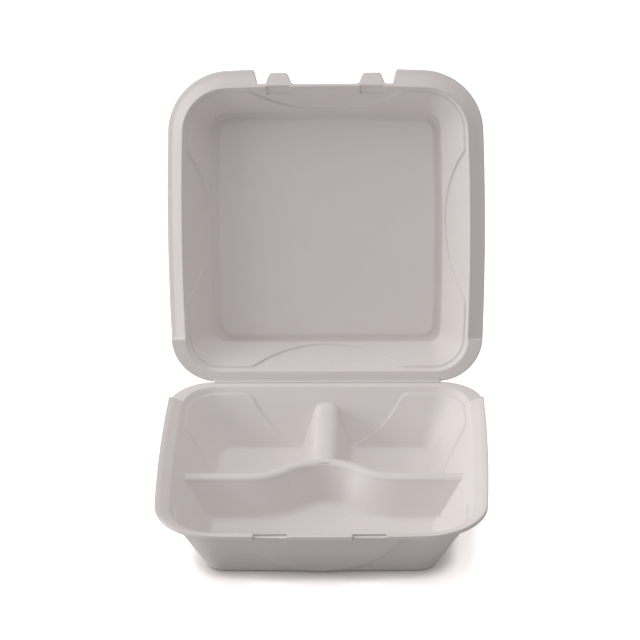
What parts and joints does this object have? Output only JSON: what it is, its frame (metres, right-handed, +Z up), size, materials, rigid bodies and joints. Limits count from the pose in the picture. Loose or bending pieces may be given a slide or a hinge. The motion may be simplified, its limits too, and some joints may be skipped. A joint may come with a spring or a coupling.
{
  "type": "hinged foam food container",
  "caption": "Square foam clamshell takeaway container, open, with a divided tray, a raised rim lip and a domed lid on a bent crease.",
  "frame": {"origin": "on the resting plane, under the middle of the large front compartment", "axes": "+Z up, +X along the hinge to the right as seen from the front, +Y from the front edge towards the hinge"},
  "size_m": [0.235, 0.3204, 0.2608],
  "materials": {
    "foam": "satin foam skin"
  },
  "bodies": {
    "base": {"base_tray": "foam"},
    "lid": {"lid": "foam"}
  },
  "joints": [
    {"name": "lid_hinge", "type": "hinge", "parent": "base", "child": "lid", "pos_m": [0, 0.17, 0.04015], "axis": [1, 0, 0], "range_deg": [-73, 107]}
  ]
}
